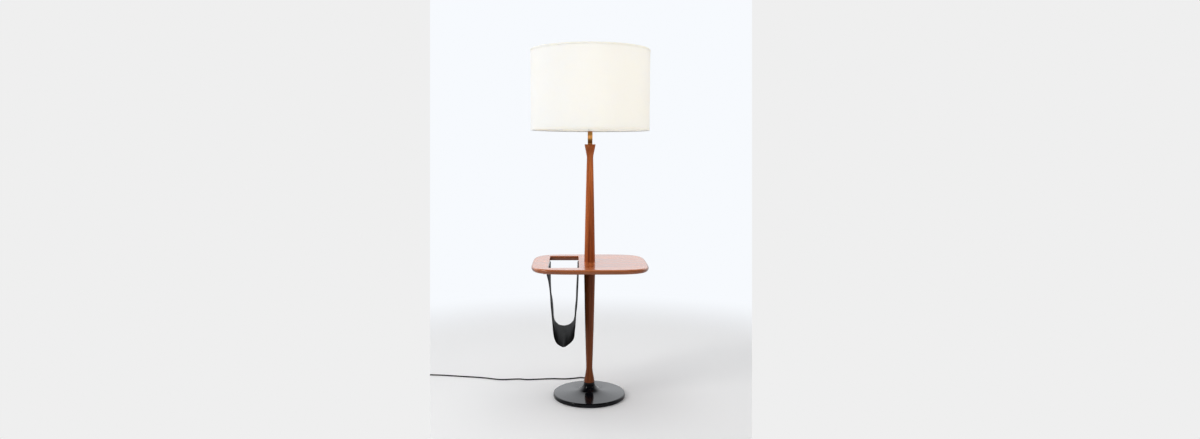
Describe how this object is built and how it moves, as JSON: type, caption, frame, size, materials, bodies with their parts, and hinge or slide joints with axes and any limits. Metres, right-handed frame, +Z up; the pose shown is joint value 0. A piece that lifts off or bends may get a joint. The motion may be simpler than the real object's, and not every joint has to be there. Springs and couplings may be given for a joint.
{
  "type": "floor lamp with table",
  "caption": "Floor lamp with a turned wooden column, a round metal base, a rounded wooden table with a slot over a leather magazine sling, and a drum shade.",
  "frame": {"origin": "on the lamp's vertical axis at the floor, under the middle of the base", "axes": "+Z up along the column, +Y to the back where the cord leaves the base, -X to the side with the magazine slot"},
  "size_m": [1.1567, 0.5586, 1.5155],
  "materials": {
    "walnut": "clear semi-gloss lacquer",
    "black_enamel": "gloss black enamel",
    "brass": "satin lacquered",
    "porcelain": "white glaze",
    "steel": "zinc plated",
    "cast_iron": "as cast",
    "felt": "pressed felt",
    "black_leather": "smooth harness leather",
    "shade_fabric": "woven linen on a stiff lining",
    "shade_trim": "folded tape",
    "card": "insulating card",
    "phenolic": "moulded",
    "aluminium": "rolled",
    "opal_glass": "frosted",
    "cord": "smooth jacket",
    "tie": "moulded strap"
  },
  "bodies": {
    "stand": {"felt_pad": "felt", "bottom_plate": "steel", "base_weight": "cast_iron", "base_shell": "black_enamel", "base_washer": "steel", "base_nut": "steel", "centre_rod": "steel", "inner_wire": "cord", "cord_bushing": "cord", "lower_column": "walnut", "table_top": "walnut", "upper_column": "walnut", "leather_sling": "black_leather", "sling_batten_left": "walnut", "sling_batten_right": "walnut", "sling_screws": "brass", "neck_tube": "brass", "neck_collar": "brass", "riser_sleeve": "porcelain", "harp_saddle": "brass", "harp_ferrules": "brass", "harp": "brass", "harp_stud": "brass", "socket_cap": "brass", "socket_shell": "brass", "socket_liner": "card", "socket_screw_shell": "brass", "switch_body": "phenolic", "cord_run": "cord", "cord_coil": "cord", "cord_tie": "tie", "plug_body": "cord", "plug_blades": "brass"},
    "shade": {"shade_drum": "shade_fabric", "shade_trim_top": "shade_trim", "shade_trim_bottom": "shade_trim", "shade_top_ring": "steel", "shade_bottom_ring": "steel", "shade_spider": "steel"},
    "finial": {"finial": "brass"},
    "bulb": {"bulb_cap": "aluminium", "bulb_glass": "opal_glass"},
    "switch": {"switch_key": "phenolic"}
  },
  "joints": [
    {"name": "shade_swivel", "type": "hinge", "parent": "stand", "child": "shade", "pos_m": [0, 0, 1.484], "axis": [0, 0, 1], "continuous": true},
    {"name": "finial_turn", "type": "hinge", "parent": "stand", "child": "finial", "pos_m": [0, 0, 1.4865], "axis": [0, 0, 1], "continuous": true},
    {"name": "bulb_turn", "type": "hinge", "parent": "stand", "child": "bulb", "pos_m": [0, 0, 1.2209], "axis": [0, 0, 1], "continuous": true},
    {"name": "switch_turn", "type": "hinge", "parent": "stand", "child": "switch", "pos_m": [0, -0.0166, 1.2125], "axis": [0, -1, 0], "continuous": true}
  ]
}
